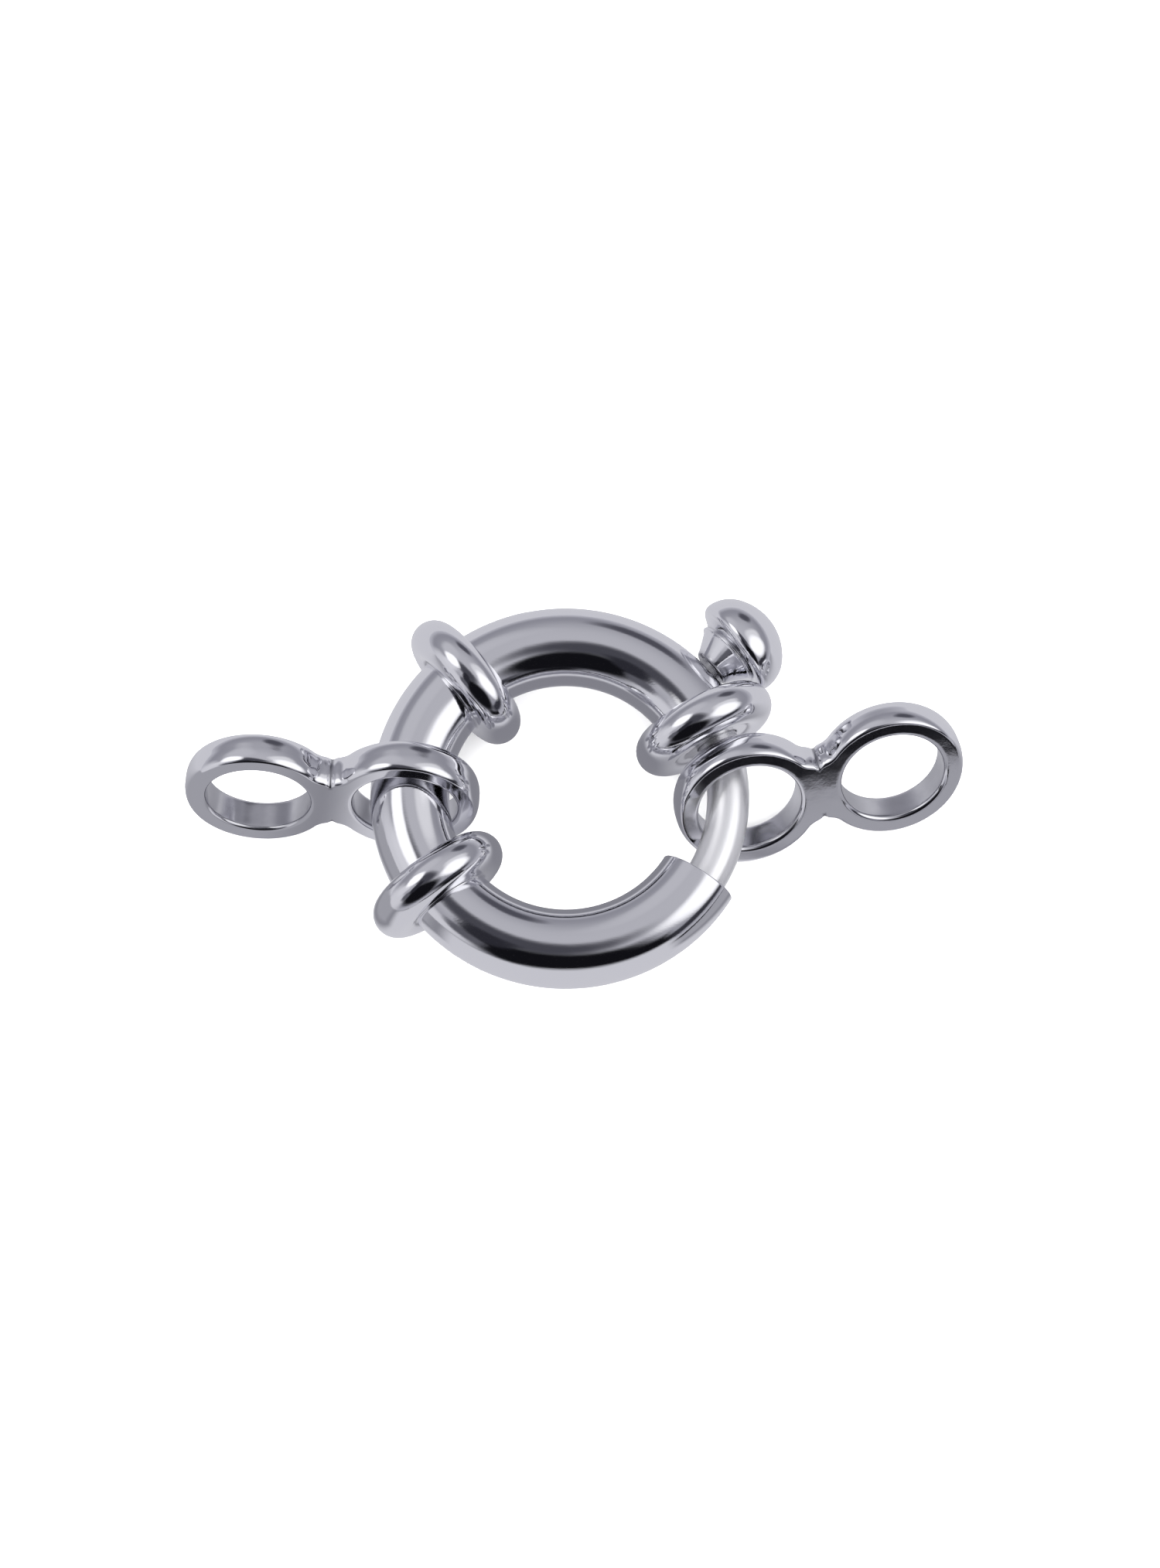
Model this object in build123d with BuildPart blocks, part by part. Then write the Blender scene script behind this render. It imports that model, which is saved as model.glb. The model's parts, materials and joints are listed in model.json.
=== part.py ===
"""Bolt ring clasp: a round tube bent to a ring, closed by a sprung bolt, with a figure-8 end on each side.

The clasp lies on a surface, on its three collars. Millimetres and degrees throughout.
The origin is the ring's centre, on that surface, and +Z is up. +X points towards the end that hangs
on the bolt. Angles round the ring start at +X and run anticlockwise seen from above, which is also
the way the bolt opens.
"""

from build123d import *
import os
from math import acos, atan2, cos, degrees, hypot, radians, sin, sqrt

# The case: the bent tube and the three collars soldered round it.
ring_diameter = 18.0  # across the outside of the bare tube
tube_diameter = 3.64
tube_wall = 0.47
collar_bead = 2.0  # thickness of a collar's round bead, along the tube
upper_collar_angle = 130.2
lower_collar_angle = 215.4
bolt_collar_angle = 27.0
mouth_angle = -32.0  # the open mouth that takes the bolt's tip
mouth_rounding = 0.08
end_wall = 0.60  # the closed end under the bolt collar, which guides the bolt

# The bolt: a bent rod with a stem and a thumb button, all soldered.
rod_diameter = 1.94
rod_clearance = 0.07  # between the rod and the tube's bore
guide_clearance = 0.04  # between the rod and its hole in the closed end
rod_rounding = 0.35
tip_depth = 0.75  # how far the closed bolt's tip stands inside the mouth
tip_left_out = 0.5  # how far the opened bolt's tip still stands out of the closed end
tail_cover = 1.2  # how far the closed bolt's tail reaches past the slot
stem_diameter = 1.10
slot_clearance = 0.10  # round the stem in its slot

# The thumb button. Heights are from the outside of the tube, along the line from the ring's centre.
button_lift = 0.10  # running gap under the button
neck_diameter = 1.80
flare_diameter = 3.10  # top of the flaring neck
step_diameter = 3.50
step_height = 1.08
step_thickness = 0.20
head_lean = 6.0  # the head leans a little towards the bolt collar
head_diameter = 4.68
head_rim = 0.38  # rounding of the head's rim
head_height = 1.80  # to the head's widest line
dome_height = 1.90  # from that line to the top
dome_shoulder = 1.62  # rounding between the widest line and the crown
button_gap = 0.06  # between the closed bolt's button and the bolt collar

# The two figure-8 ends, of one casting.
eye_wall = 1.0  # thickness of an eye's band, in its own plane
eye_width = 1.59  # width of the band, across that plane
eye_overlap = 0.05  # how far the two eyes' outlines run into each other
waist_radius = 0.90  # hollow curve on each side of the waist
outer_rounding = 0.28
inner_rounding = 0.13

# How the ends hang and lie. A tilt is how steeply an end leans, from flat.
tube_clearance = 0.20  # between the tube and the left end, above and below it
left_tilt = 71.0
left_angle = 178.9
left_heading = 177.2  # the way that the end points, from +X
left_reach = 0.19  # from the tube's centreline to the middle of the eye
right_tilt = 55.0
right_angle = 0.2
right_heading = 12.5
rod_gap = 0.34  # between the rod and the middle of the right eye's wall, which it crosses aslant

# Sizes worked out from them.
tube_radius = tube_diameter / 2
bore_radius = tube_radius - tube_wall
ring_radius = ring_diameter / 2 - tube_radius  # the tube's centreline
bead_radius = collar_bead / 2
rod_radius = rod_diameter / 2
rod_ring_radius = ring_radius + bore_radius - rod_radius - rod_clearance
stem_radius = stem_diameter / 2
slot_width = stem_diameter + 2 * slot_clearance

# A leaning eye is as wide as lets the tube through.
band_rise = eye_width / 2 * cos(radians(left_tilt))
eye_bore_radius = (tube_radius + tube_clearance + band_rise) / sin(radians(left_tilt))
eye_radius = eye_bore_radius + eye_wall
eye_spacing = 2 * eye_radius - eye_overlap


def resting_height(tilt):
    """The height of a leaning end's middle when its rounded edge stands on the surface."""
    turn = radians(tilt)
    across = (eye_radius - outer_rounding) * sin(turn)
    along = (eye_width / 2 - outer_rounding) * cos(turn)
    return across + along + outer_rounding


# The collars hold the tube at the middle of the left end.
centre_height = resting_height(left_tilt)
collar_radius = centre_height
collar_ring_radius = collar_radius - bead_radius
ring_axis = Axis((0, 0, centre_height), (0, 0, 1))


def arc_angle(length, radius=ring_radius):
    """The angle that a length takes up round the ring."""
    return degrees(length / radius)


def outwards(angle):
    """The direction away from the ring's axis at an angle."""
    return Vector(cos(radians(angle)), sin(radians(angle)), 0)


def at(angle, radius, height=centre_height):
    """A point at an angle and a distance from the ring's axis."""
    return outwards(angle) * radius + Vector(0, 0, height)


def station(angle, radius=ring_radius):
    """The plane square to the tube at an angle: its x is outwards and its y is up."""
    return Plane(at(angle, radius), x_dir=outwards(angle), z_dir=outwards(angle - 90))


def turned_plane(origin, angle):
    """The level plane at a point whose y points the way that an angle gives: its x is to the left."""
    return Plane(origin, x_dir=outwards(angle + 90), z_dir=(0, 0, -1))


# The closed end is flush with the foot of the bolt collar's bead.
bead_sink = max(collar_ring_radius - tube_radius, 0)
bead_foot = sqrt(max(bead_radius**2 - bead_sink**2, (bead_radius / 2) ** 2))
end_angle = bolt_collar_angle - arc_angle(bead_foot)
tip_angle = mouth_angle - arc_angle(tip_depth, rod_ring_radius)
open_travel = end_angle - tip_angle - arc_angle(tip_left_out, rod_ring_radius)

# The button's seat, on the outside of the tube.
seat_radius = ring_radius + tube_radius
head_seat = step_height + step_thickness / 2


def angle_past_collar(height, side, rounding, lean=0.0):
    """How far the button stands from the bolt collar for one of its edges to clear the bead."""
    turn = radians(lean)
    rise, left = (height - head_seat) * cos(turn) - side * sin(turn), side * cos(turn)
    left += (height - head_seat) * sin(turn)
    out = seat_radius + head_seat + rise
    edge_radius, bead_ring = hypot(out, left), ring_radius + collar_ring_radius
    apart = bead_radius + rounding + button_gap
    ratio = (edge_radius**2 + bead_ring**2 - apart**2) / (2 * edge_radius * bead_ring)
    return degrees(atan2(left, out) + acos(min(ratio, 1)))


step_edge = angle_past_collar(step_height - step_thickness / 2, step_diameter / 2, 0)
head_edge = angle_past_collar(head_height, head_diameter / 2 - head_rim, head_rim, head_lean)
button_angle = bolt_collar_angle + max(step_edge, head_edge)
tail_angle = button_angle + open_travel + arc_angle(slot_width / 2 + tail_cover)

# The dome is a shoulder that runs on into a ball-shaped crown.
head_radius = head_diameter / 2
shoulder_radius = min(dome_shoulder, 0.9 * head_radius, 0.9 * dome_height)
shoulder_ring = head_radius - shoulder_radius
crown_rise = dome_height - shoulder_radius
crown_radius = (shoulder_ring**2 + dome_height**2 - shoulder_radius**2) / (2 * crown_rise)
crown_drop = crown_radius - dome_height
crown_turn = degrees(atan2(crown_drop, shoulder_ring))
rim_height = head_height - head_seat

# The case: the tube, the collars, then everything that is cut from them.
with BuildPart() as case:
    with BuildSketch(station(end_angle)):
        Circle(tube_radius)
    revolve(axis=ring_axis, revolution_arc=360 + mouth_angle - end_angle)
    mouth_face = case.faces().filter_by(GeomType.PLANE).sort_by(Axis.Y)[0]
    fillet(mouth_face.edges(), mouth_rounding)
    for angle in (upper_collar_angle, lower_collar_angle, bolt_collar_angle):
        tube_line = Axis(at(angle, ring_radius), outwards(angle + 90))
        with BuildSketch(turned_plane(at(angle, ring_radius), angle)):
            with Locations((0, collar_ring_radius)):
                Circle(bead_radius)
            with Locations((0, (collar_ring_radius + bore_radius) / 2)):
                Rectangle(bead_foot, collar_ring_radius - bore_radius)
        revolve(axis=tube_line, revolution_arc=360)
    with BuildSketch(station(end_angle + arc_angle(end_wall))):
        Circle(bore_radius)
    revolve(axis=ring_axis, revolution_arc=360 + mouth_angle - end_angle, mode=Mode.SUBTRACT)
    with BuildSketch(station(end_angle - arc_angle(end_wall), rod_ring_radius)):
        Circle(rod_radius + guide_clearance)
    revolve(axis=ring_axis, revolution_arc=3 * arc_angle(end_wall), mode=Mode.SUBTRACT)
    with BuildSketch(station(button_angle - arc_angle(slot_width / 2))):
        with Locations((tube_radius, 0)):
            Rectangle(2 * tube_wall + bore_radius, slot_width)
    revolve(axis=ring_axis, revolution_arc=open_travel + arc_angle(slot_width), mode=Mode.SUBTRACT)
case.part.label = "case"

# The bolt: the rod, the stem that runs in the slot, and the button.
button_seat = at(button_angle, seat_radius)
with BuildPart() as bolt:
    with BuildSketch(station(tip_angle, rod_ring_radius)):
        Circle(rod_radius)
    revolve(axis=ring_axis, revolution_arc=tail_angle - tip_angle)
    fillet(bolt.faces().filter_by(GeomType.PLANE).edges(), rod_rounding)
    with BuildSketch(Plane(at(button_angle, rod_ring_radius), z_dir=outwards(button_angle))):
        Circle(stem_radius)
    extrude(amount=seat_radius - rod_ring_radius + step_height)
    with BuildSketch(turned_plane(button_seat, button_angle)):
        with BuildLine():
            Polyline(
                (0, button_lift),
                (neck_diameter / 2, button_lift),
                (flare_diameter / 2, step_height - step_thickness / 2),
                (step_diameter / 2, step_height - step_thickness / 2),
                (step_diameter / 2, step_height + step_thickness / 2),
                (flare_diameter / 2, step_height + step_thickness / 2),
                (flare_diameter / 2, head_height),
                (0, head_height),
                close=True,
            )
        make_face()
    revolve(axis=Axis(button_seat, outwards(button_angle)), revolution_arc=360)
    head_way = button_angle - head_lean
    head_centre = button_seat + outwards(button_angle) * head_seat
    with BuildSketch(turned_plane(head_centre, head_way)):
        with BuildLine():
            underside = Line((0, rim_height - head_rim), (head_radius - head_rim, rim_height - head_rim))
            CenterArc((head_radius - head_rim, rim_height), head_rim, -90, 90)
            CenterArc((shoulder_ring, rim_height), shoulder_radius, 0, crown_turn)
            crown = CenterArc((0, rim_height - crown_drop), crown_radius, crown_turn, 90 - crown_turn)
            Line(crown @ 1, underside @ 0)
        make_face()
    revolve(axis=Axis(head_centre, outwards(head_way)), revolution_arc=360)
bolt.part.label = "bolt"


def end_plane(angle, radius, height, heading, tilt, side):
    """The plane of a leaning end at its inner eye: x is the way it points, and z is up and to its side."""
    level = outwards(heading + 90 * side)
    upright = level * sin(radians(tilt)) + Vector(0, 0, cos(radians(tilt)))
    return Plane(at(angle, radius, height), x_dir=outwards(heading), z_dir=upright)


# The right end's eye passes the rod aslant, and its wall hangs just off the rod.
slant = radians(right_heading - right_angle)
half_way = eye_bore_radius * cos(slant) - eye_width / 2 * sin(abs(slant))
right_radius = rod_ring_radius + half_way - rod_radius - rod_gap
left_plane = end_plane(
    left_angle, ring_radius + left_reach, resting_height(left_tilt), left_heading, left_tilt, 1
)
right_plane = end_plane(
    right_angle, right_radius, resting_height(right_tilt), right_heading, right_tilt, -1
)

waist_height = sqrt((eye_radius + waist_radius) ** 2 - (eye_spacing / 2) ** 2)
waist_share = waist_radius / (eye_radius + waist_radius)
ends = {}
for name, plane in {"left_end": left_plane, "right_end": right_plane}.items():
    with BuildPart() as end:
        with BuildSketch(plane.offset(-eye_width / 2)):
            with Locations((0, 0), (eye_spacing, 0)):
                Circle(eye_radius)
            with Locations((eye_spacing / 2, 0)):
                Rectangle(eye_spacing * waist_share, 2 * waist_height * (1 - waist_share))
            with Locations((eye_spacing / 2, waist_height), (eye_spacing / 2, -waist_height)):
                Circle(waist_radius, mode=Mode.SUBTRACT)
            with Locations((0, 0), (eye_spacing, 0)):
                Circle(eye_bore_radius, mode=Mode.SUBTRACT)
        extrude(amount=eye_width)
        flat_faces = end.faces().filter_by(GeomType.PLANE)
        rims = [edge for face in flat_faces for edge in face.outer_wire().edges()]
        fillet(rims, outer_rounding)
        flat_faces = end.faces().filter_by(GeomType.PLANE)
        holes = [edge for face in flat_faces for wire in face.inner_wires() for edge in wire.edges()]
        fillet(holes, inner_rounding)
    end.part.label = name
    ends[name] = end

os.makedirs("parts", exist_ok=True)
export_step(case.part, "parts/case.step")
export_step(bolt.part, "parts/bolt.step")
for name, end in ends.items():
    export_step(end.part, f"parts/{name}.step")

print(f"ring centre height {centre_height:.3f}, eye bore radius {eye_bore_radius:.3f}")
print(f"button angle {button_angle:.2f}, bolt travel {open_travel:.2f}")
for name, plane in {"left_eye": left_plane, "right_eye": right_plane}.items():
    centre = plane.origin + plane.x_dir * eye_spacing
    print(name, [round(c, 4) for c in centre], [round(c, 5) for c in plane.z_dir])
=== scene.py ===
"""Bolt ring clasp in polished silver: the fine shapes, the finishes and the light tent round them.

Sizes are in millimetres and degrees, and meshes become metres as they are sewn. Angles round the
ring start at +X and run anticlockwise seen from above, which is the way the bolt opens. An angle
round the tube starts on its outermost side and runs up.
"""

import json
import logging
from dataclasses import dataclass, field
from enum import Enum
from math import atan2, ceil, cos, hypot, pi, radians, sin, sqrt
from typing import Any

import bmesh
import bpy
import numpy as np
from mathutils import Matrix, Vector


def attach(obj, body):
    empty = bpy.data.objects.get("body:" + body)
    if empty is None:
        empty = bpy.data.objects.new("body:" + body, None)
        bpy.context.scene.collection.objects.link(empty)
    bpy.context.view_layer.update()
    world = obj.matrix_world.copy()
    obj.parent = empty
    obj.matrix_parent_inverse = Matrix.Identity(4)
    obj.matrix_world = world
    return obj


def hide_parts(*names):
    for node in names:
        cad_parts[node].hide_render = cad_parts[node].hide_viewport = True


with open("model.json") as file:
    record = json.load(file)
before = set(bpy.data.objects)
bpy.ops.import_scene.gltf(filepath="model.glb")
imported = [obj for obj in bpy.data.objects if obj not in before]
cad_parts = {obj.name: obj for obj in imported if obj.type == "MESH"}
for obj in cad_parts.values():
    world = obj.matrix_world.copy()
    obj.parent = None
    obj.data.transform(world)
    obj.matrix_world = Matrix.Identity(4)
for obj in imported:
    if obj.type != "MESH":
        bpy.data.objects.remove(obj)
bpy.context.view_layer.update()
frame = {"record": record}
log = logging.getLogger("clasp")

Numbers = float | np.ndarray
Line = tuple[np.ndarray, np.ndarray]
Fade = tuple[float, float]
Colour = tuple[float, float, float]
Point = tuple[float, float, float]
TurnedRow = tuple[float, float, float]

MM = 0.001
UP = np.array([0.0, 0.0, 1.0])
WHITE = (1.0, 1.0, 1.0)

# Points as near to each other as this, in metres, are sewn into one.
SEWING_REACH = 4e-7

# Margins that keep rounding out of a comparison of angles and zero out of a division.
ANGLE_SLACK = 1e-6
SMALLEST_LENGTH = 1e-20

# The middle of cloudy noise, and the places of the Mix node's sockets for colours.
NOISE_MIDDLE = 0.5
MIX_FIRST, MIX_SECOND, MIX_RESULT = 6, 7, 2


def joint_height() -> float:
    """The height of the ring's centre, from the bolt's own joint, in millimetres."""
    return frame["record"]["behaviour"]["joints"][0]["pos_m"][2] / MM


def eye_mount(name: str) -> tuple[np.ndarray, np.ndarray, float]:
    """The outer eye of an end, as the record gives it.

    Args:
        name: The mount's name.

    Returns:
        The eye's centre, the direction of its bore and the bore's radius, in millimetres.
    """
    mount = next(m for m in frame["record"]["mounts"] if m["name"] == name)
    axis = np.array(mount["axis"], dtype=float)
    centre = np.array(mount["pos_m"], dtype=float) / MM
    return centre, axis / np.linalg.norm(axis), mount["dims"]["r_mm"]


def outwards(angle: Numbers) -> np.ndarray:
    """The direction away from the ring's axis at an angle in radians."""
    return np.stack([np.cos(angle), np.sin(angle), np.zeros_like(angle, dtype=float)], axis=-1)


def fading(distance: np.ndarray, width: float) -> np.ndarray:
    """A share that is 1 on a line and falls softly over a width on each side of it."""
    return np.exp(-((distance / width) ** 2))


def shares(steps: int, row: Numbers) -> np.ndarray:
    """Even shares from 0 to 1 over some steps, shaped to weigh copies of a row of points."""
    return np.linspace(0.0, 1.0, steps + 1).reshape((-1,) + (1,) * np.ndim(row))


def spread(start: np.ndarray, end: np.ndarray, steps: int) -> np.ndarray:
    """Rows that lead evenly from one row of points to another, with strips between them."""
    share = shares(steps, start)
    return (1 - share) * start + share * end


def rounded(start: np.ndarray, corner: np.ndarray, end: np.ndarray, steps: int) -> np.ndarray:
    """Rows that round a sharp corner off, from the row where that starts to where it ends."""
    share = shares(steps, start)
    return (1 - share) ** 2 * start + 2 * share * (1 - share) * corner + share**2 * end


def arc_rows(centre: np.ndarray, start: np.ndarray, end: np.ndarray, steps: int) -> np.ndarray:
    """Rows along the short arcs round a row of centres.

    Args:
        centre: A centre for each point.
        start: The first row.
        end: The last row, as far from the centres as the first.
        steps: The number of strips between them.

    Returns:
        steps + 1 rows, with both ends.
    """
    a, b = start - centre, end - centre
    reach = np.linalg.norm(a, axis=-1, keepdims=True)
    a, b = a / reach, b / np.linalg.norm(b, axis=-1, keepdims=True)
    turn = np.arccos(np.clip((a * b).sum(axis=-1, keepdims=True), -1, 1))
    share = shares(steps, start)
    swept = (np.sin((1 - share) * turn) * a + np.sin(share * turn) * b) / np.sin(turn)
    return centre + reach * swept


def from_axis(
    points: np.ndarray, start: np.ndarray, axis: np.ndarray
) -> tuple[np.ndarray, np.ndarray]:
    """How points lie to an axis.

    Args:
        points: The points.
        start: A point on the axis.
        axis: Its direction, one long.

    Returns:
        How far each point lies along the axis from the start, and how far away from it.
    """
    offset = points - start
    along = offset @ axis
    return along, np.linalg.norm(offset - along[:, None] * axis, axis=1)


def put(name: str, data: bpy.types.ID) -> bpy.types.Object:
    """Puts a new object into the scene.

    Args:
        name: The object's name.
        data: Its mesh, lamp or camera.

    Returns:
        The object, at the origin.
    """
    thing = bpy.data.objects.new(name, data)
    bpy.context.scene.collection.objects.link(thing)
    return thing


class Skin:
    """Strips of points, in millimetres, that are sewn into one closed surface."""

    def __init__(self) -> None:
        """Starts with nothing."""
        self.points: list[np.ndarray] = []
        self.faces: list[np.ndarray] = []
        self.count = 0

    def strip(self, rows: np.ndarray, closed: bool = True, keep: np.ndarray | None = None) -> None:
        """Adds a net of points.

        Args:
            rows: The points, by row and column.
            closed: Whether the last column joins the first.
            keep: For each strip and column, whether its face is there.
        """
        n, m = rows.shape[:2]
        across = m if closed else m - 1
        i, j = np.meshgrid(np.arange(n - 1), np.arange(across), indexing="ij")
        k = (j + 1) % m
        faces = np.stack([i * m + j, (i + 1) * m + j, (i + 1) * m + k, i * m + k], axis=-1)
        if keep is not None:
            faces = faces[keep[:, :across]]
        self.points.append(rows.reshape(-1, 3))
        self.faces.append(faces.reshape(-1, 4) + self.count)
        self.count += n * m

    def piece(self, name: str) -> bpy.types.Object:
        """Sews the strips together and makes the object.

        Args:
            name: The piece's name.

        Returns:
            The object, at the origin, in metres, shaded smoothly.
        """
        mesh = bpy.data.meshes.new(name)
        points = np.concatenate(self.points) * MM
        mesh.from_pydata(points.tolist(), [], np.concatenate(self.faces).tolist())
        sewing = bmesh.new()
        sewing.from_mesh(mesh)
        bmesh.ops.remove_doubles(sewing, verts=sewing.verts, dist=SEWING_REACH)
        bmesh.ops.recalc_face_normals(sewing, faces=sewing.faces)
        open_edges = sum(1 for edge in sewing.edges if len(edge.link_faces) != 2)
        if sewing.calc_volume(signed=True) < 0:
            bmesh.ops.reverse_faces(sewing, faces=sewing.faces)
        sewing.to_mesh(mesh)
        sewing.free()
        log.info("%s: %d faces, %d open edges", name, len(mesh.polygons), open_edges)
        smooth(mesh)
        return put(name, mesh)


def places(mesh: bpy.types.Mesh) -> np.ndarray:
    """Reads a mesh's points.

    Args:
        mesh: The mesh.

    Returns:
        The places of its points, in millimetres.
    """
    flat = np.empty(len(mesh.vertices) * 3)
    mesh.vertices.foreach_get("co", flat)
    return flat.reshape(-1, 3) / MM


def smooth(mesh: bpy.types.Mesh) -> None:
    """Gives each point the normal of its faces weighted by their areas, so that flats stay flat.

    Args:
        mesh: The mesh, with no sharp edges.
    """
    faces = len(mesh.polygons)
    normals, areas = np.empty(faces * 3), np.empty(faces)
    corners, totals = np.empty(len(mesh.loops), dtype=int), np.empty(faces, dtype=int)
    mesh.polygons.foreach_get("normal", normals)
    mesh.polygons.foreach_get("area", areas)
    mesh.polygons.foreach_get("loop_total", totals)
    mesh.loops.foreach_get("vertex_index", corners)
    weighted = normals.reshape(-1, 3) * areas[:, None]
    sums = np.zeros((len(mesh.vertices), 3))
    np.add.at(sums, corners, np.repeat(weighted, totals, axis=0))
    mesh.shade_smooth()
    lengths = np.maximum(np.linalg.norm(sums, axis=1, keepdims=True), SMALLEST_LENGTH)
    mesh.normals_split_custom_set_from_vertices((sums / lengths).tolist())


def mark_recess(mesh: bpy.types.Mesh, values: np.ndarray) -> None:
    """Stores how deep in a recess each point lies, from 0 to 1, for the finish to darken it with
    tarnish and painted shade.
    """
    layer = mesh.attributes.new("recess", "FLOAT", "POINT")
    layer.data.foreach_set("value", values.astype(np.float32))


@dataclass(frozen=True)
class Clouds:
    """Cloudy noise: its clouds to a millimetre, its finer layers and how strong those are."""

    scale: float
    layers: float = 2.0
    strength: float = 0.5


class Signal:
    """One socket of a shader, which takes part in sums as a number does."""

    def __init__(self, graph: "Graph", socket: bpy.types.NodeSocket | None) -> None:
        """Keeps the socket and the graph that new nodes go to."""
        self.graph = graph
        self.socket = socket

    def maths(self, operation: str, *others: "Signal | float") -> "Signal":
        """A Math node on this socket and others."""
        inputs = {index: value for index, value in enumerate((self, *others))}
        return self.graph.node("ShaderNodeMath", {"operation": operation}, inputs)

    def __add__(self, other: "Signal | float") -> "Signal":
        """The sum."""
        return self.maths("ADD", other)

    def __sub__(self, other: "Signal | float") -> "Signal":
        """The difference."""
        return self.maths("SUBTRACT", other)

    def __rsub__(self, other: float) -> "Signal":
        """The difference, with the number first."""
        return self * -1.0 + other

    def __mul__(self, other: "Signal | float") -> "Signal":
        """The product."""
        return self.maths("MULTIPLY", other)

    def __truediv__(self, other: "Signal | float") -> "Signal":
        """The quotient."""
        return self.maths("DIVIDE", other)

    def __pow__(self, other: "Signal | float") -> "Signal":
        """The power."""
        return self.maths("POWER", other)

    __radd__ = __add__
    __rmul__ = __mul__

    def between(self, low: float, high: float) -> "Signal":
        """A soft step over this signal.

        Args:
            low: Where the step still is 0.
            high: Where it has reached 1.

        Returns:
            The step.
        """
        settings = {"interpolation_type": "SMOOTHSTEP"}
        inputs = {"Value": self, "From Min": low, "From Max": high}
        return self.graph.node("ShaderNodeMapRange", settings, inputs)


class Graph:
    """A node tree, and the one place where its nodes are added."""

    def __init__(self, owner: bpy.types.Material | bpy.types.World) -> None:
        """Takes a new material's or world's tree and clears it.

        Args:
            owner: The material or the world.
        """
        owner.use_nodes = True
        self.tree = owner.node_tree
        self.tree.nodes.clear()

    def node(
        self,
        kind: str,
        settings: dict[str, Any] | None = None,
        inputs: dict[int | str, Any] | None = None,
        output: int | str = 0,
    ) -> Signal:
        """Adds a node, sets it and then links or sets its sockets.

        Args:
            kind: The node's type.
            settings: Its properties.
            inputs: Numbers, colours or signals for its sockets, by name or place.
            output: The socket that is given back.

        Returns:
            That socket as a signal, which is empty for a node without outputs.
        """
        node = self.tree.nodes.new(kind)
        for name, value in (settings or {}).items():
            setattr(node, name, value)
        for place, value in (inputs or {}).items():
            if isinstance(value, Signal):
                self.tree.links.new(value.socket, node.inputs[place])
            else:
                node.inputs[place].default_value = value
        return Signal(self, node.outputs[output] if len(node.outputs) else None)

    def colour(self, value: Colour | Signal) -> tuple[float, ...] | Signal:
        """A colour with its fourth number, or the signal as it is."""
        return value if isinstance(value, Signal) else (*value, 1.0)

    def mix(self, factor: Signal, first: Colour | Signal, second: Colour | Signal) -> Signal:
        """The colour that lies between two others, by the share of the second."""
        inputs = {0: factor, MIX_FIRST: self.colour(first), MIX_SECOND: self.colour(second)}
        return self.node("ShaderNodeMix", {"data_type": "RGBA"}, inputs, MIX_RESULT)

    def blend(self, factor: Signal, first: Signal, second: Signal) -> Signal:
        """The shader that lies between two others, by the share of the second."""
        return self.node("ShaderNodeMixShader", inputs={0: factor, 1: first, 2: second})

    def along(self, vector: Signal, axis: str) -> Signal:
        """One of the three numbers of a vector, by the name of its axis."""
        return self.node("ShaderNodeSeparateXYZ", inputs={0: vector}, output=axis)

    def place(self) -> Signal:
        """Finds the place on the piece.

        Returns:
            The place, in millimetres of the piece's own frame.
        """
        here = self.node("ShaderNodeTexCoord", output="Object")
        settings = {"operation": "SCALE"}
        return self.node("ShaderNodeVectorMath", settings, {0: here, "Scale": 1 / MM})

    def noise(self, place: Signal, clouds: Clouds) -> Signal:
        """Reads cloudy noise about one half.

        Args:
            place: Where it is read.
            clouds: What the noise is like.

        Returns:
            The noise.
        """
        inputs = {"Vector": place, "Scale": clouds.scale, "Detail": clouds.layers}
        inputs["Roughness"] = clouds.strength
        return self.node("ShaderNodeTexNoise", {"noise_dimensions": "3D"}, inputs)


class Grain(Enum):
    """The way that a surface was worked, with the noise that its finest marks follow."""

    BUFFED = Clouds(2.2, 2.0, 0.6)
    DRAWN = Clouds(9.0, 3.0, 0.6)
    CAST = Clouds(7.0, 4.0, 0.6)


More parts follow.
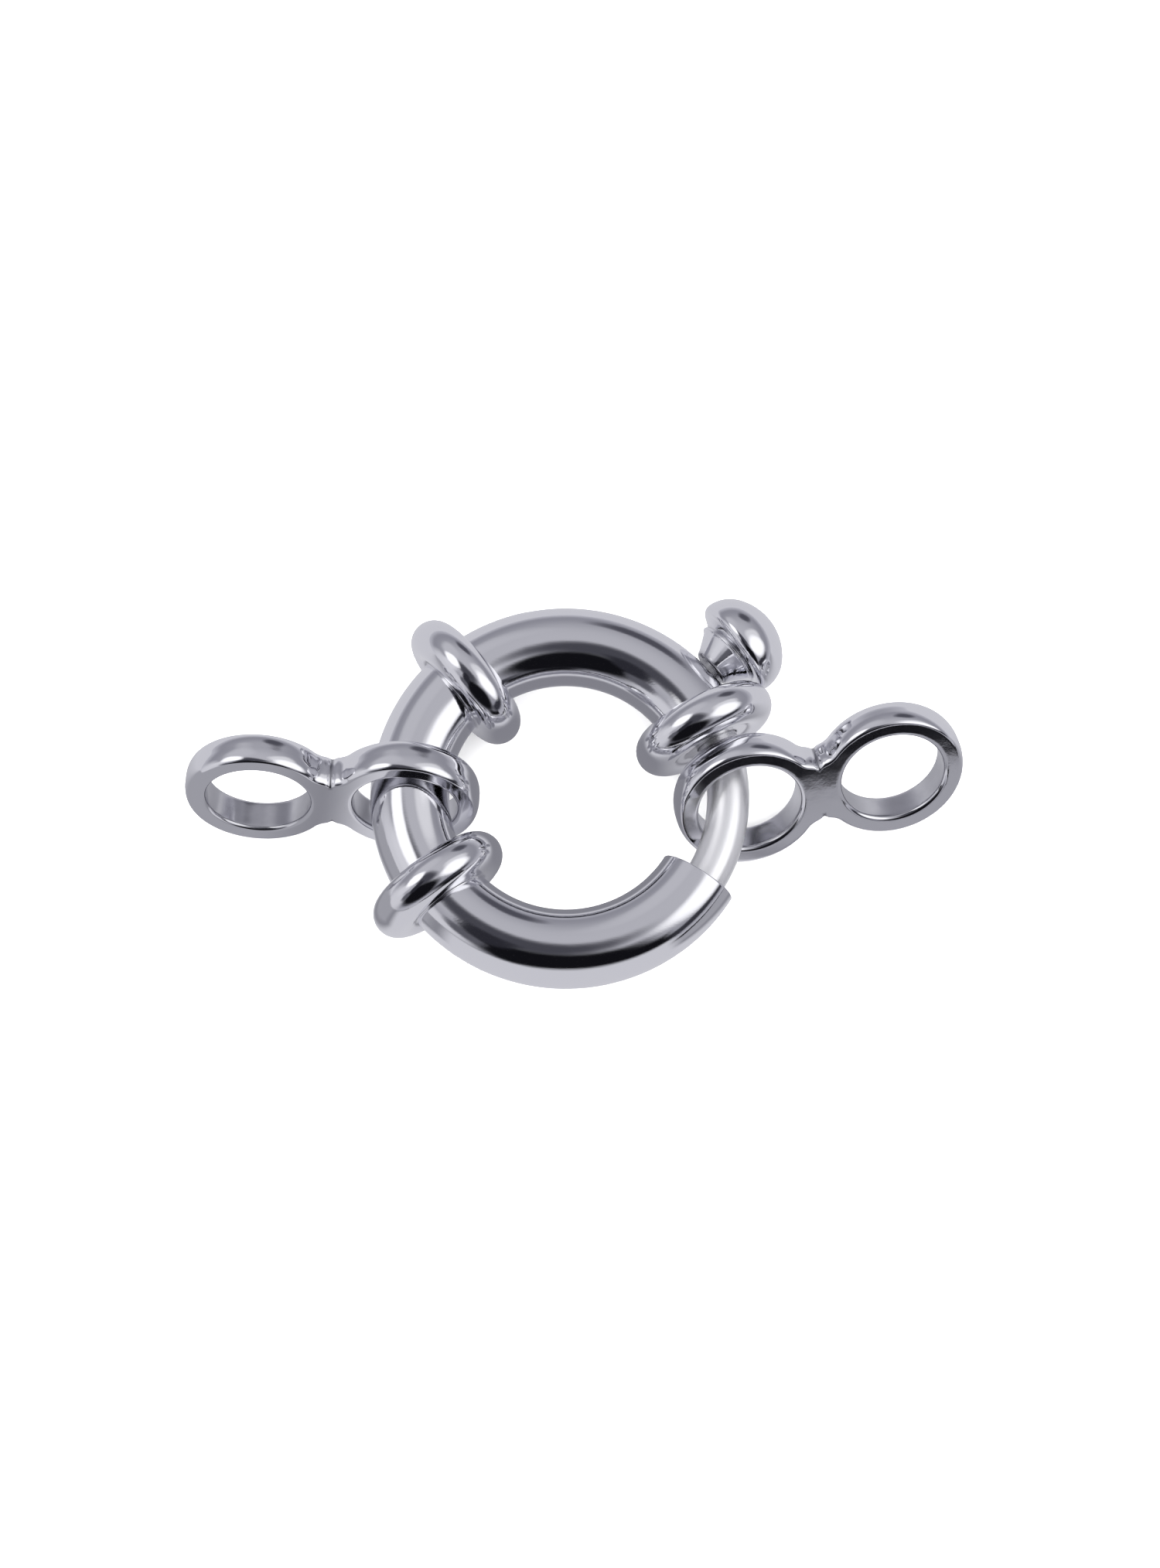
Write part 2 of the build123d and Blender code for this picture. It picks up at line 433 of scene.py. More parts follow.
@dataclass(frozen=True)
class SilverFinish:
    """White silver, polished on a wheel, with the marks that each way of making leaves."""

    name: str
    grain: Grain

    # Tones of clean silver and of tarnished silver with painted shade, and how sharply the clean silver
    # mirrors.
    base: Colour = (0.86, 0.86, 0.89)
    tarnished_and_shaded: Colour = (0.30, 0.30, 0.33)
    metallic: float = 1.0
    roughness: float = 0.065

    # Faint cloudiness of the polish, waviness of the surface and height of the finest marks.
    clouds: Clouds = Clouds(0.55, 3.0, 0.55)
    cloud_level: float = 0.35
    cloudiness: float = 0.05
    mark_cloudiness: float = 0.5
    ripple_size: float = 1.4
    ripple_layers: float = 1.0
    ripple_height: float = 0.0016
    scratch_height: float = 0.00022
    relief: float = 4.0
    wheel_turn: Point = (0.4, 0.3, 0.9)
    wheel_stretch: Point = (1.0, 9.0, 9.0)
    drawn_stretch: float = 0.8

    # Tarnish and painted shade in the recesses: its even share, its cloudy share and how dull it is.
    even_tarnish_and_shade: float = 0.55
    cloudy_tarnish_and_shade: float = 0.9
    recess_roughness: float = 0.22

    def marks(self, graph: Graph, place: Signal) -> Signal:
        """The finest marks of the finish.

        Args:
            graph: The material's nodes.
            place: Where they are read.

        Returns:
            Their height, from 0 to 1.
        """
        if self.grain is Grain.DRAWN:
            x, y, z = (graph.along(place, axis) for axis in "XYZ")
            around = y.maths("ARCTAN2", x)
            out = (x * x + y * y).maths("SQRT")
            inputs = {0: out, 1: z, 2: around * self.drawn_stretch}
            place = graph.node("ShaderNodeCombineXYZ", inputs=inputs)
        elif self.grain is Grain.BUFFED:
            inputs = {0: place, "Rotation": self.wheel_turn, "Scale": self.wheel_stretch}
            place = graph.node("ShaderNodeMapping", inputs=inputs)
        return graph.noise(place, self.grain.value)

    def material(self) -> bpy.types.Material:
        """Builds the material.

        Returns:
            The new material.
        """
        material = bpy.data.materials.new(self.name)
        graph = Graph(material)
        place = graph.place()
        recess = graph.node("ShaderNodeAttribute", {"attribute_name": "recess"}, output="Fac")
        clouds = graph.noise(place, self.clouds)
        fine = self.marks(graph, place)
        # Recesses darken: partly tarnish, partly painted shade standing in for the light that they
        # would not get.
        tarnish_and_shade = (recess * (self.even_tarnish_and_shade + self.cloudy_tarnish_and_shade * clouds)).between(0.0, 1.0)
        roughness = self.roughness + self.cloudiness * (clouds - self.cloud_level)
        roughness = roughness + self.cloudiness * self.mark_cloudiness * (fine - NOISE_MIDDLE)
        roughness = roughness + self.recess_roughness * tarnish_and_shade
        ripple = graph.noise(place, Clouds(1 / self.ripple_size, self.ripple_layers))
        height = ripple * (self.ripple_height / self.scratch_height) + fine
        depth = self.scratch_height * MM * self.relief
        relief = {"Height": height, "Strength": 1.0, "Distance": depth}
        inputs = {
            "Base Color": graph.mix(tarnish_and_shade, self.base, self.tarnished_and_shaded),
            "Metallic": self.metallic,
            "Roughness": roughness,
            "Normal": graph.node("ShaderNodeBump", inputs=relief),
        }
        shader = graph.node("ShaderNodeBsdfPrincipled", inputs=inputs)
        graph.node("ShaderNodeOutputMaterial", inputs={"Surface": shader})
        return material


BUFFED_SILVER = SilverFinish("buffed_silver", Grain.BUFFED)
DRAWN_SILVER = SilverFinish(
    "drawn_silver",
    Grain.DRAWN,
    base=(0.94, 0.94, 0.95),
    metallic=0.94,
    roughness=0.30,
    scratch_height=0.0009,
)
CAST_SILVER = SilverFinish("cast_silver", Grain.CAST, ripple_height=0.0020)


def dress(piece: bpy.types.Object, finish: SilverFinish, body: str, node: str) -> None:
    """Gives a piece its finish and hands it over to the frame.

    Args:
        piece: The piece.
        finish: What it is finished in.
        body: The body that it rides on.
        node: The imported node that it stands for.
    """
    piece.data.materials.append(finish.material())
    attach(piece, body)
    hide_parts(node)


@dataclass
class CollarFoot:
    """Where a fine solder fillet runs between a collar and the tube, for each angle round the tube."""

    turn: np.ndarray
    bead_line: np.ndarray
    tube_line: np.ndarray
    centre: np.ndarray
    tube_angle: np.ndarray
    tube_around: np.ndarray

    @property
    def line(self) -> Line:
        """Its line on the tube, as angles round the ring and round the tube."""
        return self.tube_angle, self.tube_around


@dataclass
class Case:
    """The bent tube with its three collars: one hollow soldered piece with the button's slot."""

    # The tube, its collars and its mouth by their angles, and the closed end with its guide hole.
    ring_diameter: float = 18.0
    tube_diameter: float = 3.64
    tube_wall: float = 0.47
    collar_bead: float = 2.0
    upper_collar: float = 130.2
    lower_collar: float = 215.4
    bolt_collar: float = 27.0
    mouth: float = -32.0
    mouth_rounding: float = 0.08
    end_wall: float = 0.60
    rod_diameter: float = 1.94
    rod_clearance: float = 0.07
    guide_clearance: float = 0.04
    solder_fillet: float = 0.10
    lip: float = 0.04

    # The slot for the button's stem, and how far the net round it reaches.
    slot_start: float = 37.11
    slot_end: float = 101.94
    slot_width: float = 1.30
    slot_corner: float = 0.14
    slot_rounding: float = 0.06
    slot_margin: float = 0.36

    # Tarnish and painted shade: where the solder line runs beside a collar, how wide and how dark it
    # is, and the bore.
    solder_along: float = 0.84
    solder_away: float = 1.86
    solder_width: float = 0.10
    solder_tarnish_and_shade: float = 0.8
    bore_tarnish_and_shade: float = 0.7
    bore_margin: float = 0.02

    # How fine the mesh is, and how closely the fillet's ball is rolled into its corner.
    columns: int = 128
    slot_columns: int = 18
    step: float = 0.26
    ball_tries: int = 40
    ball_limit: float = 0.98
    bead_strips: int = 34
    fillet_strips: int = 6
    face_strips: int = 8
    guide_strips: int = 4
    end_strips: int = 3
    mouth_strips: int = 5
    brim_strips: int = 4
    lip_strips: int = 3
    slot_strips: int = 4
    height: float = field(default_factory=joint_height)

    def __post_init__(self) -> None:
        """Works out the sizes that follow from the others."""
        self.tube_radius = self.tube_diameter / 2
        self.bore_radius = self.tube_radius - self.tube_wall
        self.ring_radius = self.ring_diameter / 2 - self.tube_radius
        self.bead_radius = self.collar_bead / 2
        self.bead_ring = self.height - self.bead_radius
        self.rod_ring = self.ring_radius + self.bore_radius - self.rod_diameter / 2 - self.rod_clearance
        self.guide_radius = self.rod_diameter / 2 + self.guide_clearance
        self.end_face = sqrt(self.bead_radius**2 - (self.bead_ring - self.tube_radius) ** 2)
        inwards = self.end_wall / self.ring_radius
        self.bore_end = radians(self.bolt_collar) - self.end_face / self.ring_radius + inwards
        self.mouth_face = radians(self.mouth + 360)
        self.mouth_edge = self.mouth_face - self.mouth_rounding / self.ring_radius
        self.bore_start = self.mouth_face - self.lip / self.ring_radius
        margin = self.slot_margin / (self.ring_diameter / 2)
        self.block_start = radians(self.slot_start) - margin
        self.block_end = radians(self.slot_end) + margin
        block_length = (self.block_end - self.block_start) * self.ring_diameter / 2
        self.block_steps = ceil(block_length / self.step)
        self.block_half = self.slot_width / 2 + self.slot_margin
        self.outer_around = self.around(self.tube_radius)
        self.inner_around = self.around(self.bore_radius)
        half_block = self.half_angle(self.tube_radius) + ANGLE_SLACK
        self.in_block = np.abs(self.wrapped(self.outer_around)) < half_block

    def half_angle(self, radius: float) -> float:
        """The angle round the tube from its outermost line to the edge of the net round the slot."""
        return float(np.arcsin(self.block_half / radius))

    def wrapped(self, angle: np.ndarray) -> np.ndarray:
        """Angles brought to the range from minus to plus half a turn."""
        return (angle + pi) % (2 * pi) - pi

    def around(self, radius: float) -> np.ndarray:
        """Places the net's columns round the tube.

        Args:
            radius: The radius of the wall that the net is on.

        Returns:
            The columns' angles round the tube, with those of the slot's net first.
        """
        half = self.half_angle(radius)
        slot = np.linspace(-half, half, self.slot_columns + 1)
        rest = np.linspace(half, 2 * pi - half, self.columns - self.slot_columns + 1)
        return np.concatenate([slot, rest[1:-1]])

    def level_line(self, angle: float, around: np.ndarray) -> Line:
        """A line round the tube at one angle of the ring, as tube_run takes it."""
        return np.full(around.shape, angle), around

    def on_tube(
        self, angle: Numbers, around: Numbers, radius: Numbers, ring: float | None = None
    ) -> np.ndarray:
        """Points on a bent tube.

        Args:
            angle: Angles round the ring, in radians.
            around: Angles round the tube, in radians.
            radius: The distance from the tube's centreline.
            ring: The centreline's own radius, where it isn't the tube's.

        Returns:
            The points.
        """
        ring = self.ring_radius if ring is None else ring
        angle, around = np.broadcast_arrays(angle, around)
        out = ring + radius * np.cos(around)
        level = outwards(angle) * out[..., None]
        return level + (self.height + radius * np.sin(around))[..., None] * UP

    def by_collar(self, angle: float, along: Numbers, away: Numbers, around: Numbers) -> np.ndarray:
        """Points beside a collar, in its own straight frame.

        Args:
            angle: The collar's angle, in degrees.
            along: The distance along the tube's line there.
            away: The distance from that line.
            around: The angle round it, in radians.

        Returns:
            The points.
        """
        out, forward = outwards(radians(angle)), outwards(radians(angle + 90))
        along, away, around = np.broadcast_arrays(along, away, around)
        middle = out * self.ring_radius + UP * self.height
        sideways = (away * np.cos(around))[..., None] * out + (away * np.sin(around))[..., None] * UP
        return middle + sideways + along[..., None] * forward

    def round_bead(self, angle: float, turn: np.ndarray, reach: float) -> np.ndarray:
        """Points round a collar's bead, by turns in radians from its crown, in the tube's columns."""
        away = self.bead_ring + reach * np.cos(turn)
        return self.by_collar(angle, reach * np.sin(turn), away, self.outer_around)

    def foot(self, angle: float, side: int) -> CollarFoot:
        """Rolls a ball, as large as the solder fillet, between a collar's bead and the tube.

        Args:
            angle: The collar's angle, in degrees.
            side: 1 for its anticlockwise side, -1 for the other.

        Returns:
            The fillet's place for each column.
        """
        around, reach = self.outer_around, self.bead_radius + self.solder_fillet
        low, high = np.full(around.shape, pi / 2), np.full(around.shape, pi * self.ball_limit)
        for _ in range(self.ball_tries):
            turn = (low + high) / 2
            ball = self.round_bead(angle, side * turn, reach)
            out = np.hypot(ball[:, 0], ball[:, 1]) - self.ring_radius
            far = np.hypot(out, ball[:, 2] - self.height) > self.tube_radius + self.solder_fillet
            low, high = np.where(far, turn, low), np.where(far, high, turn)
        tube_angle = np.arctan2(ball[:, 1], ball[:, 0])
        tube_angle = radians(angle) + self.wrapped(tube_angle - radians(angle))
        tube_around = np.arctan2(ball[:, 2] - self.height, out)
        tube_around = around + self.wrapped(tube_around - around)
        bead_line = self.round_bead(angle, side * turn, self.bead_radius)
        tube_line = self.on_tube(tube_angle, tube_around, self.tube_radius)
        return CollarFoot(turn, bead_line, tube_line, ball, tube_angle, tube_around)

    def bead_rows(self, angle: float, before: np.ndarray, after: np.ndarray) -> np.ndarray:
        """The rows over a collar's bead, from its clockwise to its anticlockwise foot."""
        return self.round_bead(angle, spread(-before, after, self.bead_strips), self.bead_radius)

    def collar(self, skin: Skin, angle: float) -> tuple[CollarFoot, CollarFoot]:
        """Adds a collar with the tube running on both ways.

        Args:
            skin: The case's skin.
            angle: The collar's angle, in degrees.

        Returns:
            Its clockwise and its anticlockwise foot.
        """
        before, after = self.foot(angle, -1), self.foot(angle, 1)
        skin.strip(arc_rows(before.centre, before.tube_line, before.bead_line, self.fillet_strips))
        skin.strip(self.bead_rows(angle, before.turn, after.turn))
        skin.strip(arc_rows(after.centre, after.bead_line, after.tube_line, self.fillet_strips))
        return before, after

    def closed_end(self, skin: Skin) -> CollarFoot:
        """Adds the bolt collar with the face of the closed end under it.

        Args:
            skin: The case's skin.

        Returns:
            The collar's anticlockwise foot.
        """
        angle, around, fillet = self.bolt_collar, self.outer_around, self.solder_fillet
        after = self.foot(angle, 1)
        standoff = self.end_face + fillet
        drop = sqrt((self.bead_radius + fillet) ** 2 - standoff**2)
        turn = np.full(around.shape, pi - np.arctan2(standoff, drop))
        ball = self.by_collar(angle, -standoff, self.bead_ring - drop, around)
        rim = self.by_collar(angle, -self.end_face, self.bead_ring - drop, around)
        bead_line = self.round_bead(angle, -turn, self.bead_radius)
        skin.strip(self.bead_rows(angle, turn, after.turn))
        skin.strip(arc_rows(after.centre, after.bead_line, after.tube_line, self.fillet_strips))
        skin.strip(arc_rows(ball, rim, bead_line, self.fillet_strips))
        self.guide_hole(skin, rim)
        return after

    def guide_hole(self, skin: Skin, rim: np.ndarray) -> None:
        """Adds the face of the closed end and the hole in it that guides the rod.

        Args:
            skin: The case's skin.
            rim: The row of points where the face starts, under the collar.
        """
        angle, face = self.bolt_collar, self.end_face
        around, hole, ring = self.inner_around, self.guide_radius, self.rod_ring
        middle = self.by_collar(angle, -face, sqrt(ring**2 - face**2) - self.ring_radius, 0.0)
        spokes = self.by_collar(angle, 0.0, 1.0, around) - self.by_collar(angle, 0.0, 0.0, 0.0)
        lip_row = middle + (hole + self.lip) * spokes
        start = radians(angle) - np.arcsin((face - self.lip) / (ring + hole * np.cos(around)))
        end = np.full(around.shape, self.bore_end)
        wall, wall_end = self.on_tube(start, around, hole, ring), self.on_tube(end, around, hole, ring)
        skin.strip(spread(rim, lip_row, self.face_strips))
        skin.strip(rounded(lip_row, middle + hole * spokes, wall, self.lip_strips))
        angles = spread(start, end, self.guide_strips)
        skin.strip(self.on_tube(angles, around[None, :], hole, ring))
        skin.strip(spread(wall_end, self.on_tube(end, around, self.bore_radius), self.end_strips))

    def tube_run(self, skin: Skin, start: Line, end: Line, radius: float) -> None:
        """Adds a run of plain tube between two lines round it.

        Args:
            skin: The case's skin.
            start: The angles round the ring and round the tube of the first line.
            end: The same for the last line.
            radius: The wall's radius.
        """
        lengths = np.abs(end[0] - start[0]) * (self.ring_radius + radius)
        steps = max(2, ceil(float(np.max(lengths)) / self.step))
        angles, around = spread(start[0], end[0], steps), spread(start[1], end[1], steps)
        skin.strip(self.on_tube(angles, around, radius))

    def slotted_run(self, skin: Skin, start: Line, radius: float) -> None:
        """Adds the run of tube that has the slot in it, without the block that the slot's net fills.

        Args:
            skin: The case's skin.
            start: The angles round the ring and round the tube of the first line.
            radius: The wall's radius.
        """
        angle, around = start
        keep = ~(self.in_block & np.roll(self.in_block, -1))
        angles = spread(angle, np.full(around.shape, self.block_end), self.block_steps)
        mask = np.repeat(keep[None, :], self.block_steps, axis=0)
        skin.strip(self.on_tube(angles, around[None, :], radius), keep=mask)

    def block_loop(self, radius: float) -> Line:
        """The places of the net's lines round a rectangle from -1 to 1, from its first corner on.

        Args:
            radius: The radius of the wall that the net is on.

        Returns:
            The shares along the rectangle, and those across it.
        """
        along = np.linspace(-1, 1, self.block_steps + 1)
        across = np.sin(self.around(radius)[: self.slot_columns + 1]) * radius / self.block_half
        long_side, short_side = np.ones(len(along)), np.ones(len(across) - 2)
        x = [along, short_side, along[::-1], -short_side]
        y = [-long_side, across[1:-1], long_side, across[::-1][1:-1]]
        return np.concatenate(x), np.concatenate(y)

    def slot_loop(self, offset: float) -> Line:
        """The slot's outline with rounded corners, point for point with the net round it.

        Args:
            offset: How far outside the outline the points lie.

        Returns:
            The lengths along the slot from its middle, and the heights across it.
        """
        half_length = radians(self.slot_end - self.slot_start) / 2 * self.ring_diameter / 2
        half_width, corner = self.slot_width / 2, self.slot_corner
        along, across = self.block_loop(self.tube_radius)
        along, across = along * half_length, across * half_width
        core_x = np.clip(along, -(half_length - corner), half_length - corner)
        core_y = np.clip(across, -(half_width - corner), half_width - corner)
        reach = np.hypot(along - core_x, across - core_y)
        scale = (corner + offset) / reach
        return core_x + (along - core_x) * scale, core_y + (across - core_y) * scale

    def through_wall(self, along: np.ndarray, across: np.ndarray, depth: float) -> np.ndarray:
        """Points of the tube's wall by the slot.

        Args:
            along: The lengths along the slot from its middle.
            across: The heights across it.
            depth: From 0 on the wall's outside to 1 on its inside.

        Returns:
            The points.
        """
        outer = np.sqrt(self.tube_radius**2 - across**2)
        inner = np.sqrt(self.bore_radius**2 - across**2)
        out = self.ring_radius + (1 - depth) * outer + depth * inner
        middle = radians(self.slot_start + self.slot_end) / 2
        angle = middle + along / (self.ring_diameter / 2)
        return outwards(angle) * out[..., None] + (self.height + across)[..., None] * UP

    def slot(self, skin: Skin) -> None:
        """Adds the slot's walls and the nets that join them to the tube and its bore.

        Args:
            skin: The case's skin.
        """
        half_length = (self.block_end - self.block_start) / 2 * self.ring_diameter / 2
        below = self.slot_rounding / self.tube_wall
        sharp, soft = self.slot_loop(0.0), self.slot_loop(self.slot_rounding)
        edge, corner = self.through_wall(*soft, 0.0), self.through_wall(*sharp, 0.0)
        wall = self.through_wall(*sharp, below)
        skin.strip(rounded(edge, corner, wall, self.slot_strips))
        depths = np.linspace(below, 1, self.slot_strips + 1)
        skin.strip(np.array([self.through_wall(*sharp, depth) for depth in depths]))
        for radius, depth, loop in ((self.tube_radius, 0.0, soft), (self.bore_radius, 1.0, sharp)):
            along, across = self.block_loop(radius)
            block = np.array([along * half_length, across * self.block_half])
            rows = [
                self.through_wall(*(block + share * (np.array(loop) - block)), depth)
                for share in np.linspace(0, 1, self.slot_strips + 1)
            ]
            skin.strip(np.array(rows))

    def outer_wall(self, skin: Skin) -> None:
        """Adds the collars and the tube's outside between them, from the closed end to the mouth.

        Args:
            skin: The case's skin.
        """
        around, radius = self.outer_around, self.tube_radius
        bolt_foot = self.closed_end(skin)
        upper_before, upper_after = self.collar(skin, self.upper_collar)
        lower_before, lower_after = self.collar(skin, self.lower_collar)
        beside = bolt_foot.tube_angle + (self.block_start - bolt_foot.tube_angle[0])
        block = (np.where(self.in_block, self.block_start, beside), around)
        self.tube_run(skin, bolt_foot.line, block, radius)
        self.slotted_run(skin, block, radius)
        self.tube_run(skin, self.level_line(self.block_end, around), upper_before.line, radius)
        self.tube_run(skin, upper_after.line, lower_before.line, radius)
        self.tube_run(skin, lower_after.line, self.level_line(self.mouth_edge, around), radius)

    def mouth_rim(self, skin: Skin) -> None:
        """Adds the mouth's rounded outer edge, its flat face and the soft edge of the bore.

        Args:
            skin: The case's skin.
        """
        outer, inner, mouth = self.outer_around, self.inner_around, self.mouth_face
        edge = self.on_tube(self.mouth_edge, outer, self.tube_radius)
        corner = self.on_tube(mouth, outer, self.tube_radius)
        brim = self.on_tube(mouth, outer, self.tube_radius - self.mouth_rounding)
        skin.strip(rounded(edge, corner, brim, self.mouth_strips))
        throat = self.on_tube(mouth, inner, self.bore_radius + self.lip)
        skin.strip(spread(brim, throat, self.brim_strips))
        corner = self.on_tube(mouth, inner, self.bore_radius)
        wall = self.on_tube(self.bore_start, inner, self.bore_radius)
        skin.strip(rounded(throat, corner, wall, self.lip_strips))

    def bore_wall(self, skin: Skin) -> None:
        """Adds the inside of the tube, from the mouth to the closed end.

        Args:
            skin: The case's skin.
        """
        radius = self.bore_radius
        mouth, past_slot, slot, end = (
            self.level_line(angle, self.inner_around)
            for angle in (self.bore_start, self.block_end, self.block_start, self.bore_end)
        )
        self.tube_run(skin, mouth, past_slot, radius)
        self.slotted_run(skin, slot, radius)
        self.tube_run(skin, end, slot, radius)

    def build(self) -> bpy.types.Object:
        """Builds the case.

        Returns:
            Its object.
        """
        skin = Skin()
        for part in (self.outer_wall, self.mouth_rim, self.bore_wall, self.slot):
            part(skin)
        piece = skin.piece("ring_case")
        self.shade_joints(piece.data)
        dress(piece, BUFFED_SILVER, "clasp", "case")
        return piece

    def shade_joints(self, mesh: bpy.types.Mesh) -> None:
        """Marks the solder lines at the collars' feet and the inside of the tube, for tarnish and
        painted shade.

        Args:
            mesh: The case's mesh.
        """
        at = places(mesh)
        recess = np.zeros(len(at))
        for angle in (self.upper_collar, self.lower_collar, self.bolt_collar):
            middle = outwards(radians(angle)) * self.ring_radius + UP * self.height
            along, away = from_axis(at, middle, outwards(radians(angle + 90)))
            near = np.hypot(np.abs(along) - self.solder_along, away - self.solder_away)
            recess = np.maximum(recess, self.solder_tarnish_and_shade * fading(near, self.solder_width))
        out = np.hypot(at[:, 0], at[:, 1]) - self.ring_radius
        inside = np.hypot(out, at[:, 2] - self.height) < self.bore_radius + self.bore_margin
        mark_recess(mesh, np.where(inside, self.bore_tarnish_and_shade, recess))


@dataclass
class Bolt:
    """The sliding rod with the stem and the thumb button that are soldered to it."""

    case: Case

    # The rod and its stem.
    tip_angle: float = -37.74
    tail_angle: float = 111.5
    rod_rounding: float = 0.35
    rod_step: float = 0.2
    stem_diameter: float = 1.10
    stem_margin: float = 0.05

    # The button from its neck up: flare, step, throat and leaning domed head.
    button_angle: float = 42.30
    button_lift: float = 0.10
    neck_diameter: float = 1.84
    neck_bevel: float = 0.08
    neck_bevel_height: float = 0.05
    flare_diameter: float = 3.06
    flare_curve: float = 1.12
    step_diameter: float = 3.24
    step_height: float = 1.17
    step_thickness: float = 0.14
    step_gap: float = 0.03
    throat_diameter: float = 3.80
    throat_curve: float = 1.4
    throat_gap: float = 0.02
    head_lean: float = 6.0
    head_diameter: float = 4.68
    head_rim: float = 0.38
    head_height: float = 1.80
    dome_height: float = 1.90
    dome_shoulder: float = 1.62

    # Tarnish and painted shade in the groove over the step and round the foot, where the button meets
    # the tube: how dark, how wide and how far out.
    step_tarnish_and_shade: float = 0.4
    step_dark_lift: float = 0.1
    step_dark_width: float = 0.06
    step_dark_reach: float = 1.7
    foot_tarnish_and_shade: float = 0.8
    foot_dark_width: float = 0.25
    foot_dark_reach: float = 1.3

    # How fine the mesh is.
    columns: int = 96
    face_rows: int = 4
    rounding_rows: int = 9
    flare_rows: int = 17
    step_rows: int = 11
    throat_rows: int = 9
    rim_rows: int = 12
    shoulder_rows: int = 22
    crown_rows: int = 24

    def __post_init__(self) -> None:
        """Works out the columns' angles, the button's direction and where it sits on the tube."""
        self.around = np.linspace(0, 2 * pi, self.columns, endpoint=False)
        self.out = outwards(radians(self.button_angle))
        self.seat = self.case.ring_diameter / 2

    def rod(self, skin: Skin) -> None:
        """Adds the bent rod with its rounded ends.

        Args:
            skin: The bolt's skin.
        """
        radius, ring = self.case.rod_diameter / 2, self.case.rod_ring
        turn = np.linspace(0, pi / 2, self.rounding_rows)
        core = radius - self.rod_rounding
        flat = np.linspace(0, core, self.face_rows + 1)[:-1]
        radii = np.concatenate([flat, core + self.rod_rounding * np.sin(turn)])
        back = np.concatenate([np.zeros(len(flat)), self.rod_rounding * (1 - np.cos(turn))]) / ring
        tip, tail = radians(self.tip_angle), radians(self.tail_angle)
        steps = ceil((tail - tip) * ring / self.rod_step)
        middle = np.linspace(tip + back[-1], tail - back[-1], steps + 1)[1:-1]
        angles = np.concatenate([tip + back, middle, (tail - back)[::-1]])
        widths = np.concatenate([radii, np.full(len(middle), radius), radii[::-1]])
        skin.strip(self.case.on_tube(angles[:, None], self.around[None, :], widths[:, None], ring))

    def arc(
        self, height: float, out: float, radius: float, turns: np.ndarray, lean: float
    ) -> list[TurnedRow]:
        """Rows of the outline on an arc round a centre, by turns in radians from the level."""
        return [(height + radius * sin(t), max(out + radius * cos(t), 0.0), lean) for t in turns]

    def profile(self) -> list[TurnedRow]:
        """The button's outline.

        Returns:
            For each row its height over the tube, its radius and its share of the head's lean.
        """
        stem, neck, flare = self.stem_diameter / 2, self.neck_diameter / 2, self.flare_diameter / 2
        ridge, throat, bead = self.step_diameter / 2, self.throat_diameter / 2, self.step_thickness / 2
        lift, bevel, rise = self.button_lift, self.neck_bevel, self.neck_bevel_height
        deep = self.case.rod_ring - self.seat
        rows = [(deep, 0.0, 0.0), (deep, stem, 0.0), (lift, stem, 0.0), (lift, neck - bevel, 0.0)]
        for share in np.linspace(0, 1, self.flare_rows):
            height = lift + rise + share * (self.step_height - bead - lift - rise)
            rows.append((height, neck + (flare - neck) * share**self.flare_curve, 0.0))
        turns = np.linspace(-pi / 2, pi / 2, self.step_rows)
        rows += self.arc(self.step_height, ridge - bead, bead, turns, 0.0)
        rim, rounding = self.head_height, self.head_rim
        start, end = self.step_height + bead + self.step_gap, rim - rounding - self.throat_gap
        for share in np.linspace(0, 1, self.throat_rows):
            radius = flare + (throat - flare) * share**self.throat_curve
            rows.append((start + share * (end - start), radius, share))
        head, shoulder = self.head_diameter / 2, self.dome_shoulder
        turns = np.linspace(-pi / 2, 0, self.rim_rows)
        rows += self.arc(rim, head - rounding, rounding, turns, 1.0)
        ring = head - shoulder
        crown = (ring**2 + self.dome_height**2 - shoulder**2) / (2 * (self.dome_height - shoulder))
        drop = crown - self.dome_height
        meet = atan2(drop, ring)
        rows += self.arc(rim, ring, shoulder, np.linspace(0, meet, self.shoulder_rows)[1:], 1.0)
        rows += self.arc(rim - drop, 0.0, crown, np.linspace(meet, pi / 2, self.crown_rows)[1:], 1.0)
        return rows

    def button(self, skin: Skin) -> None:
        """Adds the stem, the flaring neck, the step and the leaning domed head.

        Args:
            skin: The bolt's skin.
        """
        pivot = self.step_height + self.step_thickness / 2
        start = self.out * (self.seat + pivot) + UP * self.case.height
        rows = []
        for height, radius, share in self.profile():
            angle = self.button_angle - self.head_lean * share
            out, left = outwards(radians(angle)), outwards(radians(angle + 90))
            ring = np.cos(self.around)[:, None] * left + np.sin(self.around)[:, None] * UP
            rows.append(start + out * (height - pivot) + radius * ring)
        skin.strip(np.array(rows))

    def build(self) -> bpy.types.Object:
        """Builds the bolt.

        Returns:
            Its object.
        """
        skin = Skin()
        self.rod(skin)
        self.button(skin)
        piece = skin.piece("sliding_bolt")
        self.shade_joints(piece.data)
        piece.data.materials.append(BUFFED_SILVER.material())
        dress(piece, DRAWN_SILVER, "bolt", "bolt")
        self.split_finishes(piece.data)
        return piece

    def shade_joints(self, mesh: bpy.types.Mesh) -> None:
        """Marks the button's foot and the groove over its step, for tarnish and painted shade.

        Args:
            mesh: The bolt's mesh.
        """
        along, away = from_axis(places(mesh), UP * self.case.height, self.out)
        height = along - self.seat
        over_step = height - self.step_height - self.step_dark_lift
        groove = self.step_tarnish_and_shade * fading(over_step, self.step_dark_width)
        foot = self.foot_tarnish_and_shade * fading(height, self.foot_dark_width)
        groove = groove * (away < self.step_dark_reach)
        foot = foot * (away < self.foot_dark_reach)
        mark_recess(mesh, np.maximum(groove, foot))

